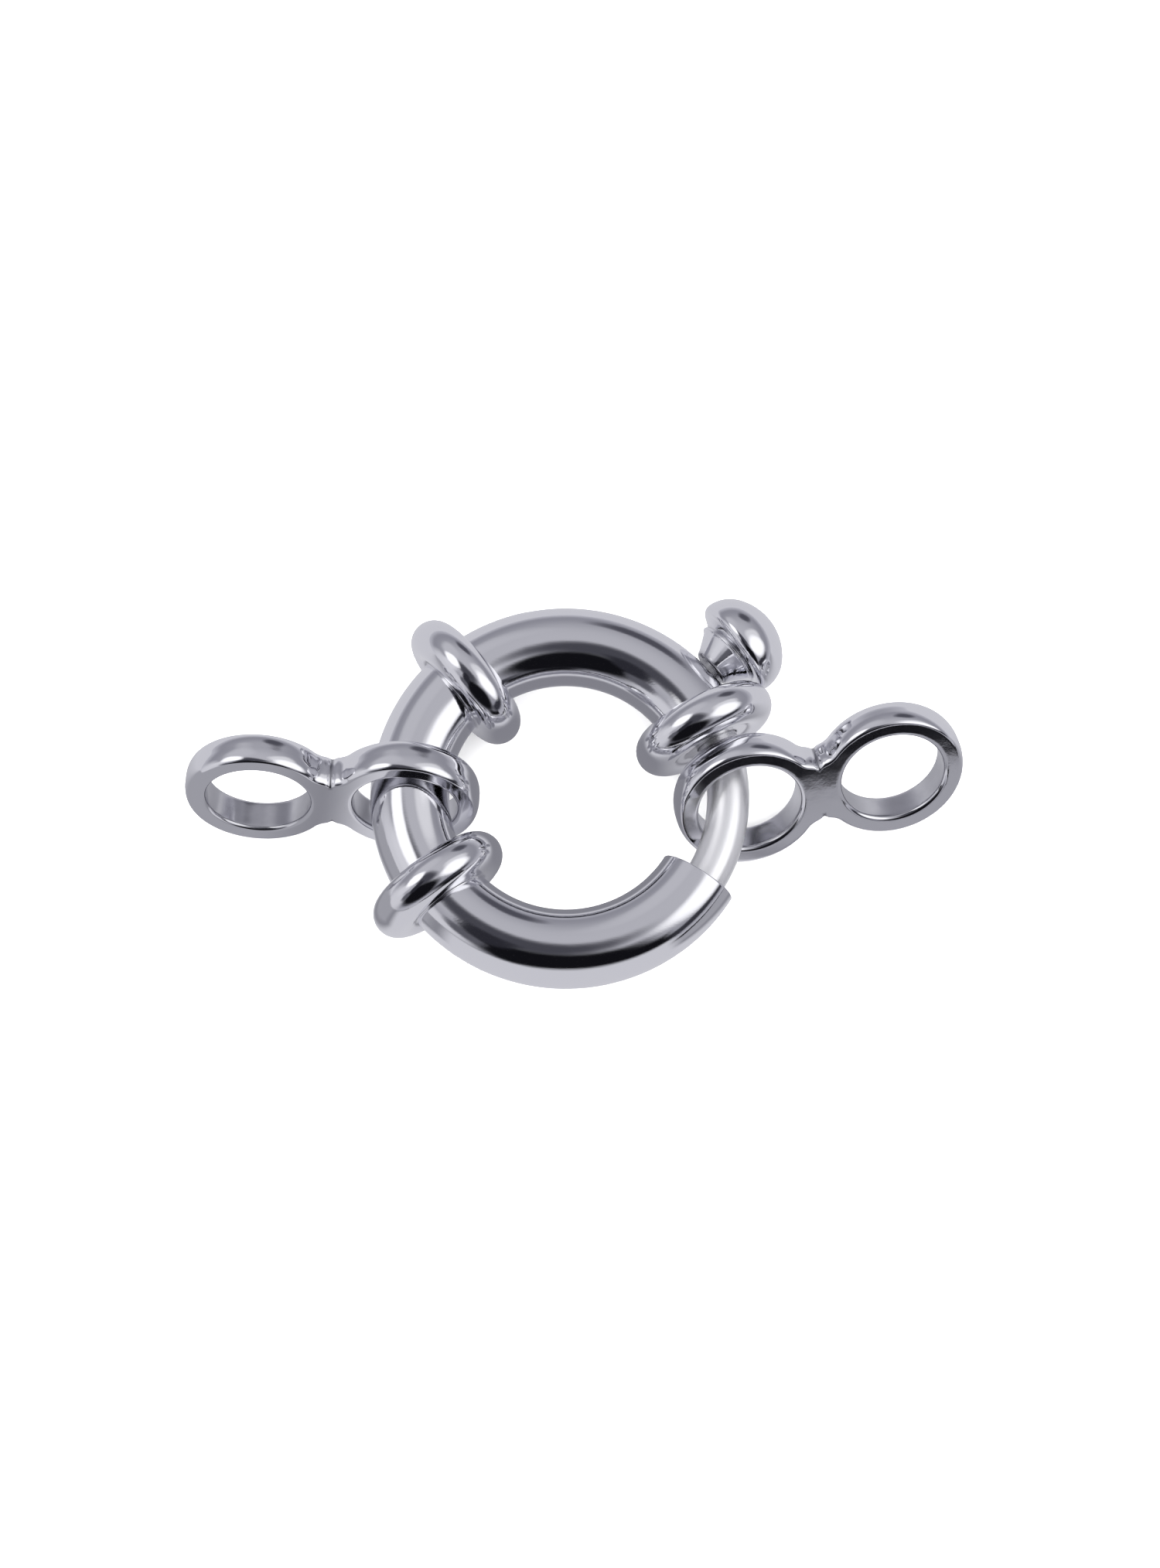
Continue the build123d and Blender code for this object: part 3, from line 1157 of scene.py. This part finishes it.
    def split_finishes(self, mesh: bpy.types.Mesh) -> None:
        """Leaves the button buffed, as the case is, and gives the rod its drawn finish.

        Args:
            mesh: The bolt's mesh, with the buffed finish first.
        """
        rod_edge = self.case.rod_ring + self.case.rod_diameter / 2 + self.stem_margin
        for face in mesh.polygons:
            x, y, _ = face.center / MM
            face.material_index = 0 if hypot(x, y) > rod_edge else 1


@dataclass
class FigureEight:
    """A cast end of two round eyes, with rounded rims and a cleft on each side of its waist.

    points_to is -1 for the end that points to the left and 1 for the one that points to the right.
    """

    name: str
    node: str
    mount: str
    points_to: float

    # The casting, its roundings and the clefts, which start at a share of the waist's half width.
    wall: float = 1.0
    width: float = 1.59
    overlap: float = 0.05
    waist: float = 0.90
    outer_rounding: float = 0.27
    outer_bulge: float = 0.66
    inner_rounding: float = 0.22
    cleft_depth: float = 0.20
    cleft_width: float = 0.15
    cleft_start: float = 0.2
    cleft_middle: float = 0.3

    # Tarnish and painted shade in the holes and in the clefts.
    hole_tarnish_and_shade: float = 0.42
    hole_margin: float = 0.05
    rim_margin: float = 0.06
    cleft_tarnish_and_shade: float = 0.75
    cleft_dark_width: float = 0.09
    cleft_dark_start: float = 0.7

    # How fine the mesh is: rows are counted on each rounding and between the two.
    eye_columns: int = 120
    waist_columns: int = 44
    middle_columns: int = 12
    face_strips: int = 7
    outer_rows: tuple[int, int] = (15, 3)
    inner_rows: tuple[int, int] = (9, 7)

    def __post_init__(self) -> None:
        """Finds the end's own frame from its mount."""
        self.outer_eye, self.axis, self.bore = eye_mount(self.mount)
        self.radius = self.bore + self.wall
        self.spacing = 2 * self.radius - self.overlap
        level = np.cross(UP, self.axis)
        self.forward = level / np.linalg.norm(level)
        if self.forward[0] * self.points_to < 0:
            self.forward = -self.forward
        self.side = np.cross(self.axis, self.forward)
        self.inner_eye = self.outer_eye - self.forward * self.spacing
        self.waist_height = sqrt((self.radius + self.waist) ** 2 - (self.spacing / 2) ** 2)
        self.waist_edge = self.waist_height - self.waist

    def outline(self) -> Line:
        """The outline of the inner eye's half, from the top of the waist round to its bottom.

        Returns:
            The points in the end's own plane, and the directions out of the metal.
        """
        half = self.spacing / 2
        meet = atan2(self.waist_height, half)
        turn = np.linspace(-pi / 2, meet - pi, self.waist_columns + 1)
        hollow = np.stack([np.cos(turn), np.sin(turn)], axis=-1)
        top = np.array([half, self.waist_height]) + self.waist * hollow
        turn = np.linspace(meet, 2 * pi - meet, self.eye_columns + 1)[1:-1]
        round_part = np.stack([np.cos(turn), np.sin(turn)], axis=-1)
        flip = np.array([1, -1])
        points = np.concatenate([top, self.radius * round_part, (top * flip)[::-1]])
        ways = np.concatenate([-hollow, round_part, (-hollow * flip)[::-1]])
        return points, ways

    def placed(self, flat: np.ndarray, height: float, mirrored: bool) -> np.ndarray:
        """Brings points from the end's own plane to their place, with the clefts pressed in.

        Args:
            flat: The points in the plane, from the inner eye's middle.
            height: How far over the plane they lie.
            mirrored: Whether they belong to the outer eye.

        Returns:
            The points in space.
        """
        x, y = flat[..., 0], flat[..., 1]
        start, middle = self.cleft_start, self.cleft_middle
        share = (np.abs(y) - start * self.waist_edge) / ((1 - start) * self.waist_edge)
        depth = self.cleft_depth * fading(x - self.spacing / 2, self.cleft_width)
        depth = depth * np.clip(share, 0, 1) ** 2
        height = np.broadcast_to(height, x.shape)
        depth = depth * (middle + (1 - middle) * (height / (self.width / 2)) ** 2)
        y = y - np.sign(y) * depth
        if mirrored:
            x = self.spacing - x
        level = x[..., None] * self.forward + y[..., None] * self.side
        return self.inner_eye + level + height[..., None] * self.axis

    def band(self, inset: float, bulge: float, rows: tuple[int, int]) -> list[tuple[float, float]]:
        """The section of a band with both of its edges rounded off.

        Args:
            inset: How far the rounding reaches over the flat faces.
            bulge: How far it reaches down the band.
            rows: The numbers of rows on each rounding and between them.

        Returns:
            For each row how far it lies in from the band, and its height over the middle plane.
        """
        turn, half_width = np.linspace(0, pi / 2, rows[0]), self.width / 2
        over, under = inset * (1 - np.sin(turn)), inset * (1 - np.cos(turn))
        top = half_width - bulge + bulge * np.cos(turn)
        straight = np.linspace(half_width - bulge, bulge - half_width, rows[1] + 2)[1:-1]
        insets = np.concatenate([over, np.zeros(rows[1]), under])
        return list(zip(insets, np.concatenate([top, straight, -top[::-1]])))

    def half(self, skin: Skin, mirrored: bool) -> None:
        """Adds one eye with its half of the waist.

        Args:
            skin: The end's skin.
            mirrored: Whether it is the outer eye.
        """
        points, ways = self.outline()
        outer = self.band(self.outer_rounding, self.outer_bulge, self.outer_rows)
        rows = [self.placed(points - inset * ways, height, mirrored) for inset, height in outer]
        skin.strip(np.array(rows), closed=False)
        rim = points - self.outer_rounding * ways
        middle = spread(rim[-1], rim[0], self.middle_columns)[1:-1]
        loop = np.concatenate([rim, middle])
        towards = loop / np.linalg.norm(loop, axis=1, keepdims=True)
        face = spread(loop, (self.bore + self.inner_rounding) * towards, self.face_strips)
        for height in (self.width / 2, -self.width / 2):
            skin.strip(np.array([self.placed(row, height, mirrored) for row in face]))
        inner = self.band(self.inner_rounding, self.inner_rounding, self.inner_rows)
        rows = [self.placed((self.bore + inset) * towards, height, mirrored) for inset, height in inner]
        skin.strip(np.array(rows))

    def build(self) -> bpy.types.Object:
        """Builds the end.

        Returns:
            Its object.
        """
        skin = Skin()
        self.half(skin, False)
        self.half(skin, True)
        piece = skin.piece(self.name)
        self.shade_recesses(piece.data)
        dress(piece, CAST_SILVER, "clasp", self.node)
        return piece

    def shade_recesses(self, mesh: bpy.types.Mesh) -> None:
        """Marks the walls of the eyes' holes and the clefts at the waist, for tarnish and painted
        shade.

        Args:
            mesh: The end's mesh.
        """
        at = places(mesh)
        recess = np.zeros(len(at))
        for eye in (self.inner_eye, self.outer_eye):
            height, away = from_axis(at, eye, self.axis)
            in_hole = away < self.bore + self.hole_margin
            in_hole = in_hole & (np.abs(height) < self.width / 2 - self.rim_margin)
            recess = np.where(in_hole, self.hole_tarnish_and_shade, recess)
        offset = at - (self.inner_eye + self.forward * self.spacing / 2)
        along, across = offset @ self.forward, np.abs(offset @ self.side)
        in_cleft = across > self.cleft_dark_start * self.waist_edge
        cleft = self.cleft_tarnish_and_shade * fading(along, self.cleft_dark_width) * in_cleft
        mark_recess(mesh, np.maximum(recess, cleft))


@dataclass(frozen=True)
class TentPanel:
    """A soft-edged part of the light tent's inside, which only the metal mirrors.

    Directions are in degrees from +X and from the level. The half sizes are sines of half the
    angles that the panel takes up, and roll turns it anticlockwise seen from the clasp.
    """

    azimuth: float
    elevation: float
    half_width: float
    half_height: float
    colour: Colour
    roll: float = 0.0
    edge: float = 0.5
    squareness: float = 2.6
    behind_fade: float = 0.15

    def paint(self, graph: Graph, way: Signal, behind: Signal) -> Signal:
        """Lays the panel over what is behind it.

        Args:
            graph: The world's nodes.
            way: The direction looked in.
            behind: The colour behind the panel.

        Returns:
            The colour with the panel.
        """
        turn, lift, roll = radians(self.azimuth), radians(self.elevation), radians(self.roll)
        ahead = Vector((cos(lift) * cos(turn), cos(lift) * sin(turn), sin(lift)))
        right = Vector((sin(turn), -cos(turn), 0))
        upward = right.cross(ahead)
        wide = right * cos(roll) + upward * sin(roll)
        high = upward * cos(roll) - right * sin(roll)

        def lean(axis: Vector) -> Signal:
            """How far the direction looked in leans along an axis."""
            inputs = {0: way, 1: axis[:]}
            return graph.node("ShaderNodeVectorMath", {"operation": "DOT_PRODUCT"}, inputs, "Value")

        across = (lean(wide) / self.half_width).maths("ABSOLUTE") ** self.squareness
        upwards = (lean(high) / self.half_height).maths("ABSOLUTE") ** self.squareness
        inside = 1.0 - (across + upwards).between(1 - self.edge, 1 + self.edge)
        return graph.mix(inside * lean(ahead).between(0.0, self.behind_fade), behind, self.colour)


@dataclass
class Studio:
    """The pale surface, the light tent and the soft light from above.

    A fade is a pair of numbers: where a tone starts to turn into the next, and where it has.
    """

    # The tent's tones from the top down, with fades by the height of the direction looked in.
    ceiling: Colour = (0.49, 0.49, 0.53)
    wall: Colour = (0.29, 0.29, 0.33)
    ground: Colour = (0.50, 0.50, 0.55)
    ceiling_fade: Fade = (0.2, 1.0)
    wall_fade: Fade = (-0.05, 0.2)

    # The pale sheet under the clasp, its size in metres and its faint clouds.
    sheet: Colour = (0.93, 0.93, 0.93)
    sheet_size: float = 6.0
    sheet_clouds: Clouds = Clouds(0.02)
    sheet_cloud_fade: Fade = (0.2, 0.8)
    sheet_cloud_tone: float = 0.97

    # The glowing sheet that the metal mirrors: its tones, and where the clasp's shadow is painted on
    # it.
    open_sheet: Colour = (0.63, 0.63, 0.67)
    shaded_sheet: Colour = (0.25, 0.25, 0.28)
    near_end_sheet: Colour = (0.27, 0.27, 0.30)
    far_end_sheet: Colour = (0.37, 0.37, 0.405)
    dark_card: Colour = (0.006, 0.006, 0.008)
    sheet_reach: float = 120.0
    ring_shade: Fade = (3.5, 10.0)
    end_shade: Fade = (9.0, 12.0)
    end_shade_back: Fade = (-1.0, 6.0)
    far_end_shade: Fade = (11.5, 15.0)

    # The black card, the lip at the sheet's front and the black strip over the lip. The strip's top
    # fades from a share of its height, and a side edge fades out to side_fade times its distance.
    card_front: float = -32.0
    card_fade: float = 3.0
    card_side: float = 11.0
    lip_front: float = -11.0
    lip_side: float = 7.6
    lip_foot: float = 0.01
    lip_height: float = 5.5
    lip_fade: float = 0.08
    strip_start: float = -4.0
    strip_fade: float = 4.0
    strip_height: float = 9.4
    strip_edge: float = 0.79
    side_fade: float = 1.3

    # The light, and the panels from the hindmost to the foremost.
    light_strength: float = 8.0
    light_spread: float = 110.0
    panels: tuple[TentPanel, ...] = (
        TentPanel(200, 14, 0.52, 0.30, (0.66, 0.66, 0.70), edge=0.9),
        TentPanel(130, 47, 0.36, 0.30, (0.53, 0.53, 0.57), edge=0.9),
        TentPanel(70, 23, 0.21, 0.18, (0.08, 0.08, 0.10), edge=0.9),
        TentPanel(322, 15, 0.42, 0.12, (0.035, 0.035, 0.045), edge=0.8),
        TentPanel(232, 75, 0.40, 0.28, (0.065, 0.065, 0.080), edge=0.9),
        TentPanel(266, 35, 0.53, 0.45, (0.006, 0.006, 0.008), roll=5),
        TentPanel(226, 31, 0.14, 0.18, (0.11, 0.11, 0.13), edge=0.9),
        TentPanel(230, 54, 0.14, 0.26, (0.025, 0.025, 0.033), edge=0.7),
        TentPanel(190, 34, 0.20, 0.28, (0.70, 0.70, 0.74), edge=0.9),
        TentPanel(172, 51, 0.26, 0.27, (1.25, 1.25, 1.27), edge=0.7),
        TentPanel(22, 50, 0.26, 0.36, (0.74, 0.74, 0.77), edge=0.7),
        TentPanel(350, 43, 0.37, 0.39, (1.20, 1.20, 1.22), edge=0.7),
    )

    def tent(self) -> None:
        """Builds the world: the metal mirrors the tent's walls, and the sheet sees plain white."""
        world = bpy.data.worlds.new("light_tent")
        bpy.context.scene.world = world
        graph = Graph(world)
        way = graph.node("ShaderNodeTexCoord", output="Generated")
        height = graph.along(way, "Z")
        colour = graph.mix(height.between(*self.ceiling_fade), self.wall, self.ceiling)
        colour = graph.mix(height.between(*self.wall_fade), self.ground, colour)
        for panel in self.panels:
            colour = panel.paint(graph, way, colour)
        mirrored = graph.node("ShaderNodeBackground", inputs={"Color": colour})
        plain = graph.node("ShaderNodeBackground", inputs={"Color": graph.colour(WHITE)})
        seen = graph.node("ShaderNodeLightPath", output="Is Camera Ray")
        scattered = graph.node("ShaderNodeLightPath", output="Is Diffuse Ray")
        background = graph.blend(seen.maths("MAXIMUM", scattered), mirrored, plain)
        graph.node("ShaderNodeOutputWorld", inputs={"Surface": background})
        # Sampled as a lamp, the world would mix up what mirrored and scattered rays see.
        world.cycles.sampling_method = "NONE"

    def lay(self, name: str, reach: float, corners: list[Point]) -> bpy.types.Object:
        """Lays a square sheet round the origin, with more sheets joined to it.

        Args:
            name: The sheet's name.
            reach: Half of its side, in metres.
            corners: The corners of the others, four to each, in metres.

        Returns:
            The sheet.
        """
        square = [(-reach, -reach, 0), (reach, -reach, 0), (reach, reach, 0), (-reach, reach, 0)]
        corners = square + corners
        faces = [range(first, first + 4) for first in range(0, len(corners), 4)]
        mesh = bpy.data.meshes.new(name)
        mesh.from_pydata(corners, [], faces)
        return put(name, mesh)

    def surface(self) -> None:
        """Lays the pale sheet that the clasp rests on; the metal mirrors the tent, not the sheet."""
        sheet = self.lay("sheet", self.sheet_size / 2, [])
        sheet.visible_glossy = False
        material = bpy.data.materials.new("pale_sheet")
        graph = Graph(material)
        clouds = graph.noise(graph.place(), self.sheet_clouds).between(*self.sheet_cloud_fade)
        clouded = tuple(self.sheet_cloud_tone * part for part in self.sheet)
        shade = graph.mix(clouds, clouded, self.sheet)
        shader = graph.node("ShaderNodeBsdfDiffuse", inputs={"Color": shade})
        graph.node("ShaderNodeOutputMaterial", inputs={"Surface": shader})
        sheet.data.materials.append(material)

    def mirrored_surface(self) -> None:
        """Lays the greyer sheet that only the metal mirrors, with a lip standing up at its front."""
        reach, front, top = self.sheet_reach * MM, self.lip_front * MM, self.strip_height * MM
        side = self.side_fade * self.lip_side * MM
        lip = [(-reach, front, 0), (side, front, 0), (side, front, top), (-reach, front, top)]
        sheet = self.lay("mirrored_sheet", reach, lip)
        sheet.visible_camera = sheet.visible_diffuse = False
        sheet.visible_shadow = sheet.visible_transmission = False
        sheet.data.materials.append(self.mirrored_tones())

    def mirrored_tones(self) -> bpy.types.Material:
        """Paints the sheet that the metal mirrors.

        Its glow carries painted shade inside the ring and by the ends. A black strip runs over the
        right part of the low lip, and a black card lies on the sheet's front right part.

        Returns:
            The new material.
        """
        material = bpy.data.materials.new("mirrored_sheet")
        graph = Graph(material)
        place = graph.place()
        x, y, z = (graph.along(place, axis) for axis in "XYZ")
        tones = (self.shaded_sheet, self.open_sheet, self.near_end_sheet, self.far_end_sheet)
        shaded, lit, near_end, far_end, dark = (
            graph.node("ShaderNodeEmission", inputs={"Color": graph.colour(tone)})
            for tone in (*tones, self.dark_card)
        )
        clear = graph.node("ShaderNodeBsdfTransparent")
        away, fade = x.maths("ABSOLUTE"), self.side_fade
        # Painted shadow: the glowing tones turn darker inside the ring and by the ends, where the clasp
        # would shade the sheet.
        outside = (x * x + y * y).maths("SQRT").between(*self.ring_shade)
        by_the_ends = away.between(*self.end_shade) * (1.0 - y.between(*self.end_shade_back))
        card_edge = y.between(self.card_front - self.card_fade, self.card_front + self.card_fade)
        on_card = x.between(self.card_side, fade * self.card_side) * (1.0 - card_edge)
        lip_edge = self.lip_fade * self.lip_height
        past_lip = z.between(self.lip_height - lip_edge, self.lip_height + lip_edge)
        beside_lip = x.between(self.lip_side, fade * self.lip_side) * z.between(0.0, self.lip_foot)
        past_strip = z.between(self.strip_edge * self.strip_height, self.strip_height)
        on_strip = x.between(self.strip_start, self.strip_start + self.strip_fade)
        off_lip = past_lip * (1.0 - on_strip * (1.0 - past_strip))
        off_lip = off_lip.maths("MAXIMUM", beside_lip)
        shader = graph.blend(outside, shaded, lit)
        ends = graph.blend(away.between(*self.far_end_shade), near_end, far_end)
        black = on_card.maths("MAXIMUM", past_lip)
        for factor, layer in ((by_the_ends, ends), (black, dark), (off_lip, clear)):
            shader = graph.blend(factor, shader, layer)
        graph.node("ShaderNodeOutputMaterial", inputs={"Surface": shader})
        return material

    def light(self) -> None:
        """Hangs the soft light over the sheet."""
        lamp = bpy.data.lights.new("soft_top_light", "SUN")
        lamp.energy = self.light_strength
        lamp.angle = radians(self.light_spread)
        put("soft_top_light", lamp).visible_glossy = False

    def build(self) -> None:
        """Builds the tent, the sheets and the light, and keeps the picture's tones plain."""
        for part in (self.tent, self.surface, self.mirrored_surface, self.light):
            part()
        bpy.context.scene.view_settings.view_transform = "Standard"
        log.info("studio ready")


@dataclass(frozen=True)
class PhotoCamera:
    """The camera, placed from where the ring's centre lies in the photograph."""

    elevation: float = 75.8
    distance: float = 200.0
    focal_pixels: float = 5612.0
    picture: tuple[int, int] = (1500, 2028)
    ring_centre: tuple[float, float] = (731.4, 1030.6)
    sensor: float = 36.0
    nearest: float = 5.0

    def build(self) -> None:
        """Builds the camera and makes it the scene's own."""
        data = bpy.data.cameras.new("camera")
        long_side = max(self.picture)
        data.sensor_width = self.sensor
        data.lens = self.focal_pixels / long_side * self.sensor
        data.shift_x = (self.picture[0] / 2 - self.ring_centre[0]) / long_side
        data.shift_y = (self.ring_centre[1] - self.picture[1] / 2) / long_side
        data.clip_start = self.nearest * MM
        lift = radians(self.elevation)
        back = Vector((0, -cos(lift), sin(lift))) * self.distance * MM
        camera = put("camera", data)
        camera.location = Vector((0, 0, joint_height() * MM)) + back
        camera.rotation_euler = (pi / 2 - lift, 0, 0)
        bpy.context.scene.camera = camera
        log.info("camera ready")


def main() -> None:
    """Builds the clasp's pieces, the studio and the camera."""
    logging.basicConfig(level=logging.INFO, format="%(name)s: %(message)s")
    PhotoCamera().build()
    Studio().build()
    case = Case()
    left_end = FigureEight("left_eye_link", "left_end", "left_eye", -1)
    right_end = FigureEight("right_eye_link", "right_end", "right_eye", 1)
    for part in (case, Bolt(case), left_end, right_end):
        piece = part.build()
        finishes = " and ".join(material.name for material in piece.data.materials)
        log.info("%s is in place, in %s", piece.name, finishes)


if __name__ == "__main__":
    main()
